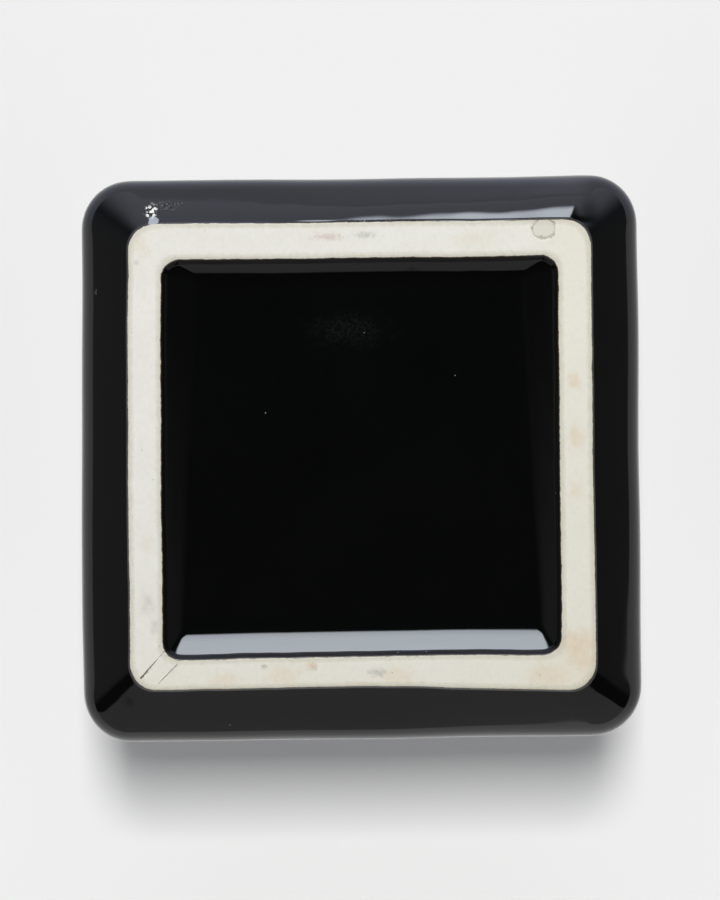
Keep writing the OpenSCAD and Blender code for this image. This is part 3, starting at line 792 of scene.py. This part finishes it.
make_bezels()
make_button()
for node, body, slot, look, ease in (
    ("base_hinge_leaf", "base", "gilt_brass", BRASS, 0.1),
    ("lid_hinge_leaf", "lid", "gilt_brass", BRASS, 0.1),
    ("hinge_pin", "base", "gilt_brass", BRASS, 0.08),
    ("catch_slider", "catch", "catch_steel", STEEL, 0.06),
    ("catch_guide", "base", "gilt_brass", BRASS, 0.06),
    ("catch_spring", "base", "catch_steel", STEEL, 0.04),
    ("guide_rivets", "base", "gilt_brass", BRASS, 0.08),
    ("catch_hook", "lid", "gilt_brass", BRASS, 0.08),
    ("inner_frame", "base", "gilt_brass", BRUSHED, 0.08),
    ("mirror_backing", "lid", "card", CARD, 0.1),
):
    rounded_copy(node, node + "_piece", body, slot, look, ease)


# ---------------- powder, puff and mirror


def lathe(name, profile, material, segments=128, wobble=None):
    """A closed round piece from a profile of (radius, z) points that starts and ends on the axis."""
    verts = []
    rings = len(profile) - 2
    for radius, z in profile[1:-1]:
        for i in range(segments):
            angle = FULL_TURN * i / segments
            point = (radius * math.cos(angle), radius * math.sin(angle), z)
            verts.append(wobble(*point) if wobble else point)
    faces = bands(rings, segments)
    for end, ring in ((profile[0], 0), (profile[-1], rings - 1)):
        faces += fan(len(verts), ring * segments, segments, ring == 0)
        verts.append((0, 0, end[1]))
    return new_piece(name, verts, faces, material)


def cup_profile(radius, low, high, wall, roll):
    """A drawn cup with a rounded foot and a rolled edge of radius roll."""
    outer = [(0, low), (radius * 0.5, low), (radius - 0.9, low), (radius - 0.35, low + 0.12),
             (radius - 0.08, low + 0.4), (radius, low + 0.9), (radius, high - 2 * roll)]
    rolled = [(radius - roll + roll * math.cos(turn), high - roll + roll * math.sin(turn))
              for turn in map(math.radians, range(0, 181, 30))]
    inner = [(radius - wall, high - 2.5 * roll), (radius - wall, low + wall + 0.8),
             (radius - wall - 0.2, low + wall + 0.25), (radius - wall - 0.7, low + wall),
             (radius * 0.5, low + wall), (0, low + wall)]
    return outer + rolled + inner


def make_well():
    well = lathe("powder_well_cup", cup_profile(26.6, 5.4, 13.68, 0.4, 0.2), BRUSHED)
    place(well, "base", "gilt_brass", "powder_well")
    pan = lathe("powder_pan_tray", cup_profile(26, 5.85, 9.75, 0.4, 0.2), ALUMINIUM)
    place(pan, "base", "pan_metal", "powder_pan")
    cushion = lathe("felt_disc", [(0, 5.01), (25, 5.01), (25.8, 5.06), (26, 5.2), (25.8, 5.34),
                                  (25, 5.39), (0, 5.39)], FELT)
    place(cushion, "base", "felt", "well_cushion")


def make_powder():
    """The pressed cake: a lattice in a slightly dished top, worn smooth in the middle."""
    rings, segments, radius = 96, 160, 25.56
    low, high = 6.26, 9.2
    lattice = 5
    verts = []
    for ring in range(1, rings + 1):
        for i in range(segments):
            angle = FULL_TURN * i / segments
            r = radius * ring / rings
            x, y = r * math.cos(angle), r * math.sin(angle)
            line = max(math.cos(FULL_TURN * (x + y) / lattice), math.cos(FULL_TURN * (x - y) / lattice))
            groove = max(0, (line - 0.9) / 0.1) * 0.22
            worn = min(1, math.hypot(x - 3, y + 4) / 12)
            fall = max(0, (r - (radius - 0.6)) / 0.6) ** 2 * 0.25
            dish = 0.25 * (1 - (r / radius) ** 2)
            dent = 0.12 * (1 - worn) + 0.05 * noise.noise(Vector((x / 5, y / 5, 4)))
            verts.append((x, y, high - dish - groove * worn - fall - dent))
    verts += [(x, y, low) for x, y, _ in verts[-segments:]]
    faces = bands(rings + 1, segments, flipped=True)
    faces.append(tuple(range(rings * segments, (rings + 1) * segments))[::-1])
    faces += fan(len(verts), 0, segments)
    verts.append((0, 0, high - 0.25 - 0.12))
    cake = new_piece("powder_cake_pressed", verts, faces, POWDER)
    finish_edges(cake, 50)
    place(cake, "base", "pressed_powder", "powder_cake")


PUFF_LOW, PUFF_HIGH, PUFF_RADIUS = 9.55, 14.85, 24.9
DISC_RADIUS = 22
RIBBON_WIDTH, RIBBON_LENGTH = 9, 39


def make_pad():
    """The puff's soft velour pad."""
    low, high, radius = PUFF_LOW, PUFF_HIGH, PUFF_RADIUS
    outline = [(0, low + 0.15), (8, low + 0.12), (16, low + 0.05), (20, low + 0.02), (22.3, low + 0.25),
               (23.8, low + 0.9), (24.7, low + 1.8), (radius, low + 2.7), (24.7, low + 3.6),
               (23.9, low + 4.4), (22.6, low + 5), (20.5, high), (12, high), (0, high)]

    def soft(x, y, z):
        reach = math.hypot(x, y) / radius
        at = Vector((x / 4.5, y / 4.5, z / 3))
        shift = noise.noise(at) * 0.35 * reach ** 3
        wider = 1 + shift / radius
        return x * wider, y * wider, z + 0.1 * noise.noise(at * 1.7) * reach ** 2

    pad = lathe("puff_velour_pad", outline, VELOUR, 144, soft)
    subdivide(pad)
    place(pad, "base", "puff_velour", "puff_pad")


def make_disc():
    """The puff's satin disc, slightly gathered at its edge, and the cord round it."""
    high = PUFF_HIGH

    def gathered(x, y, z):
        reach = math.hypot(x, y) / DISC_RADIUS
        angle = math.atan2(y, x)
        pleat = math.sin(26 * angle + 2.5 * noise.noise(Vector((x / 7, y / 7, 2))))
        return x, y, z + (0.07 * reach ** 3 * pleat - 0.05 * reach ** 6 if z > high + 0.4 else 0)

    outline = [(0, 0), (21, 0), (21.8, 0.1), (DISC_RADIUS, 0.3), (21.7, 0.55), (21, 0.6), (20.2, 0.5),
               (19.2, 0.52), (17.5, 0.58), (15, 0.62), (11, 0.65), (7, 0.66), (0, 0.66)]
    disc = lathe("puff_satin_disc", [(r, high + up) for r, up in outline], SATIN, 156, gathered)
    subdivide(disc)
    place(disc, "base", "puff_satin", "puff_backing")

    cord_radius, lay, strands = 0.38, 21.6, 65
    turns, round_steps = 260, 8
    verts = []
    for t in range(turns):
        angle = FULL_TURN * t / turns
        for k in range(round_steps):
            around = FULL_TURN * k / round_steps
            swell = cord_radius * (1 + 0.16 * math.cos(2 * around + angle * strands))
            r = lay + swell * math.cos(around)
            verts.append((r * math.cos(angle), r * math.sin(angle), high + 0.42 + swell * math.sin(around)))
    piping = new_piece("puff_piping", verts, bands(turns, round_steps, closed=True, flipped=True), SATIN)
    place(piping, "base", "puff_satin")


def make_ribbon():
    """The finger ribbon over the disc."""
    width, length, thick = RIBBON_WIDTH, RIBBON_LENGTH, 0.22
    steps, across = 60, 12
    verts = []
    for i in range(steps + 1):
        t = i / steps
        x = (t - 0.5) * length
        lift = 1.5 * math.sin(math.pi * t) ** 1.6
        for side in (1, -1):
            for k in range(across + 1)[::side]:
                y = (k / across - 0.5) * width * (1 - 0.04 * math.sin(math.pi * t))
                sag = 0.12 * math.cos(math.pi * (k / across - 0.5) * 2)
                z = PUFF_HIGH + 0.78 + lift + sag + side * thick / 2
                z += 0.05 * noise.noise(Vector((x / 3, y / 3, 7)))
                verts.append((x, y, z))
    faces = capped(steps + 1, 2 * (across + 1), flipped=True)
    ribbon = new_piece("puff_ribbon_strap", verts, faces, RIBBON)
    finish_edges(ribbon, 60)
    place(ribbon, "base", "ribbon", "puff_ribbon")


def make_stitches():
    """A row of stitches at each end of the ribbon."""
    verts, faces = [], []
    stitch, thread_radius, pitch, per_row = 0.36, 0.11, 0.95, 9
    rings, around = 7, 6
    for side in (1, -1):
        for number in range(per_row):
            middle = (number - (per_row - 1) / 2) * pitch
            level = PUFF_HIGH + 0.9 + 0.12 * math.cos(FULL_TURN * middle / RIBBON_WIDTH)
            first = len(verts)
            for ring in range(rings):
                along = ring / 3 - 1
                thread = thread_radius * math.sqrt(max(0.04, 1 - along ** 2))
                for k in range(around):
                    angle = FULL_TURN * k / around
                    verts.append((side * (RIBBON_LENGTH / 2 - 0.9) + thread * math.cos(angle),
                                  middle + stitch * along, level + thread * math.sin(angle)))
            faces += capped(rings, around, first, flipped=True)
    stitches = new_piece("puff_stitches", verts, faces, SATIN)
    place(stitches, "base", "ribbon")


def make_mirror():
    plate = [(18.46, 0.4, 0.3), (18.46, 12, 2), (18.46, 26.9, 3.4), (18.47, 27, 3.4), (18.74, 30, 3.9),
             (18.8, 31.5, 4.1), (18.95, 32.4, 4.3), (19.8, 32.48, 4.3), (20, 32.35, 4.3), (20.04, 20, 3),
             (20.04, 0.4, 0.3)]
    glass = sweep("mirror_glass_plate", plate, MIRROR, side_steps=10)
    finish_edges(glass, 3)
    place(glass, "lid", "mirror", "mirror_glass")
    ring = [(17.86, 30.1, 4), (17.82, 30.5, 4.1), (17.8, 31.2, 4.3), (17.82, 32.6, 4.7), (17.88, 33.1, 4.9),
            (18.02, 33.34, 5), (18.3, 33.4, 5), (20.4, 33.4, 5), (20.48, 33.3, 5), (20.48, 32.9, 4.5),
            (20.4, 32.8, 4.4), (18.6, 32.8, 4.4), (18.42, 32.6, 4.3), (18.4, 32, 4.2), (18.4, 30.2, 3.9),
            (18.34, 29.9, 3.8), (18.2, 29.8, 3.7), (18.02, 29.84, 3.8), (17.92, 29.95, 3.9)]
    rim = sweep("mirror_frame_rim", ring, BRASS, **MOUNT_STEPS)
    finish_edges(rim)
    place(rim, "lid", "gilt_brass", "mirror_frame")


make_well()
make_powder()
make_pad()
make_disc()
make_ribbon()
make_stitches()
make_mirror()


# ---------------- stage, lights, camera

SENSOR = 36                # the camera's sensor, in millimetres
PICTURE_SPAN = 129.7 * MM  # height of the picture at the base's belly
BELLY_Z = 8.45 * MM
CAMERA_AWAY = 800 * MM
BACKDROP_Z = 118 * MM
FRAME_SHIFT = 0.97 * MM    # how far the case's middle lies below the picture's
CAMERA_ROLL = 0.53         # degrees
DEGREES = 180 / math.pi

# how bright the surroundings are, below the horizon and above it
UNDER_ALL = 0.027
FRONT_LOBE = 1.15
BACK_LOBE = 0.42
BACK_LIFT = 62.3           # its lower edge, in degrees up from straight down
LEFT_LOBE, RIGHT_LOBE = 0.15, 0.09
SOFT_BOX = 9.7
SKY_ALL, SKY_FRONT, SKY_BACK = 0.62, 0.26, 0.28

# (name, place, target, width, height, power) of the lamps, in metres and watts
BACKDROP_MIDDLE = (0, 0, BACKDROP_Z)
BACKDROP_LAMPS = [("backdrop_light", (0, -0.222, -1.9), BACKDROP_MIDDLE, 0.14, 0.24, 121),
                  ("backdrop_fill_left", (-0.9, 0.1, -0.7), BACKDROP_MIDDLE, 0.5, 0.5, 9.2),
                  ("backdrop_fill_right", (0.9, 0.1, -0.7), BACKDROP_MIDDLE, 0.5, 0.5, 9.2)]
FOOT_LAMP = ("foot_light", (-0.03, -0.33, -0.5), (0, 0, 0), 0.3, 0.3, 2.7)
TOP_LAMPS = [("top_key", (-0.2, -0.28, 0.85), (0, 0, 0), 0.3, 0.3, 4.5),
             ("top_fill", (0.25, 0.2, 0.8), (0, 0, 0), 0.4, 0.4, 1.2)]


def flat_stage(name, size, z, facing_up, colour):
    """A stage plane that shows on one side only: from below, the camera sees past the table."""
    mesh = bpy.data.meshes.new(name)
    h = size / 2
    mesh.from_pydata([(-h, -h, z), (h, -h, z), (h, h, z), (-h, h, z)], [],
                     [(0, 1, 2, 3) if facing_up else (3, 2, 1, 0)])
    plane = new_object(name, mesh)
    material = bpy.data.materials.new(name)
    n = Nodes(material)
    behind = n.node("NewGeometry").outputs["Backfacing"]
    diffuse = n.node("BsdfDiffuse", {"Color": colour}).outputs[0]
    clear = n.node("BsdfTransparent").outputs[0]
    surface = n.node("MixShader", {0: behind, 1: diffuse, 2: clear}).outputs[0]
    n.node("OutputMaterial", {"Surface": surface})
    mesh.materials.append(material)
    plane.visible_shadow = plane.visible_diffuse = False
    return plane


def area_light(name, where, target, width, height, power):
    data = bpy.data.lights.new(name, "AREA")
    data.shape = "RECTANGLE"
    data.size, data.size_y = width, height
    data.energy = power
    lamp = new_object(name, data)
    lamp.location = where
    lamp.rotation_euler = (Vector(target) - Vector(where)).to_track_quat("-Z", "Y").to_euler()
    return lamp


def make_world():
    """Light by direction, with a soft box below the front and a lobe of light towards each side.

    The lobes leave dark gaps between them towards the back corners. Above the horizon it is pale all round.
    """
    world = bpy.data.worlds.new("studio")
    bpy.context.scene.world = world
    n = Nodes(world)
    calc, ramp, times, plus, minus = n.math, n.step, n.times, n.plus, n.minus
    direction = n.node("TexCoord").outputs["Generated"]
    x, y, z = n.node("SeparateXYZ", {0: direction}).outputs
    level_part = calc("MAXIMUM", calc("SQRT", plus(times(x, x), times(y, y))), 0.001)
    across = calc("DIVIDE", x, level_part)
    along = calc("DIVIDE", y, level_part)
    # degrees up from straight down
    lift = times(calc("ARCCOSINE", times(z, -1)), DEGREES)
    to_front = times(along, -1)
    front = ramp(plus(to_front, ramp(across, 0.2, 0.7, 0, 0.09)), 0.54, 1)
    front = times(front, ramp(lift, 47, 66, 0, FRONT_LOBE))
    # the back lobe's lower edge rises towards its sides
    turned = times(calc("ARCCOSINE", calc("MINIMUM", along, 1)), DEGREES)
    turned = plus(turned, ramp(across, 0, -0.3, 0, -6))
    aside = calc("MAXIMUM", minus(turned, 38), 0)
    back_edge = minus(lift, plus(times(aside, aside, 0.1), BACK_LIFT))
    back = times(ramp(turned, 57, 51), ramp(back_edge, -1.2, 1.5, 0, BACK_LOBE))
    side_light = ramp(across, -0.5, 0.5, LEFT_LOBE, RIGHT_LOBE)
    aslant = calc("ABSOLUTE", across)
    to_side = plus(times(ramp(along, 0.1, 0), ramp(aslant, 0.66, 0.96)),
                   times(ramp(along, 0, 0.1), ramp(aslant, 0.92, 0.97)))
    sides = times(to_side, ramp(lift, 24, 62), side_light)
    box = times(ramp(aslant, 0.3, 0.18), ramp(to_front, 0, 0.1), ramp(lift, 33, 38, 0, 0.85),
                ramp(lift, 37, 46, 1, 1.22), ramp(lift, 64, 54), SOFT_BOX)
    under = plus(front, back, sides, box, UNDER_ALL)
    above = ramp(z, -0.03, -0.005)
    pale = plus(ramp(to_front, 0.1, 0.9, 0, SKY_FRONT), ramp(along, 0.3, 0.9, 0, SKY_BACK), SKY_ALL)
    cold = n.mix(ramp(lift, 54, 64), (0.89, 0.965, 1.04, 1), (0.88, 0.91, 1.1, 1))
    tint = n.mix(ramp(to_front, 0, 0.5), (1, 1, 0.995, 1), cold)
    background = n.node("Background", {"Strength": n.blend(above, under, pale), "Color": tint})
    n.node("OutputWorld", {"Surface": background.outputs[0]})


def make_stage():
    table = flat_stage("table", 6, -0.05 * MM, True, (0.75, 0.75, 0.75, 1))
    table.visible_glossy = False
    backdrop = flat_stage("backdrop", 0.26, BACKDROP_Z, False, (0.21, 0.2088, 0.207, 1))
    receivers = bpy.data.collections.new("lit_by_backdrop_lights")
    receivers.objects.link(backdrop)
    for lamp in BACKDROP_LAMPS:
        area_light(*lamp).light_linking.receiver_collection = receivers
    foot_lamp = area_light(*FOOT_LAMP)
    foot_lamp.visible_glossy = False
    others = bpy.data.collections.new("not_lit_by_foot_light")
    others.objects.link(backdrop)
    foot_lamp.light_linking.receiver_collection = others
    others.collection_objects[0].light_linking.link_state = "EXCLUDE"
    for lamp in TOP_LAMPS:
        area_light(*lamp)


def make_camera():
    data = bpy.data.cameras.new("camera")
    data.sensor_width = SENSOR
    data.lens = SENSOR * CAMERA_AWAY / PICTURE_SPAN
    data.clip_start, data.clip_end = 0.01, 20
    camera = new_object("camera", data)
    camera.location = (0, -FRAME_SHIFT, BELLY_Z - CAMERA_AWAY)
    camera.rotation_euler = (math.radians(180), 0, math.radians(CAMERA_ROLL))
    bpy.context.scene.camera = camera


make_world()
make_stage()
make_camera()
bpy.context.scene.view_settings.view_transform = "Standard"
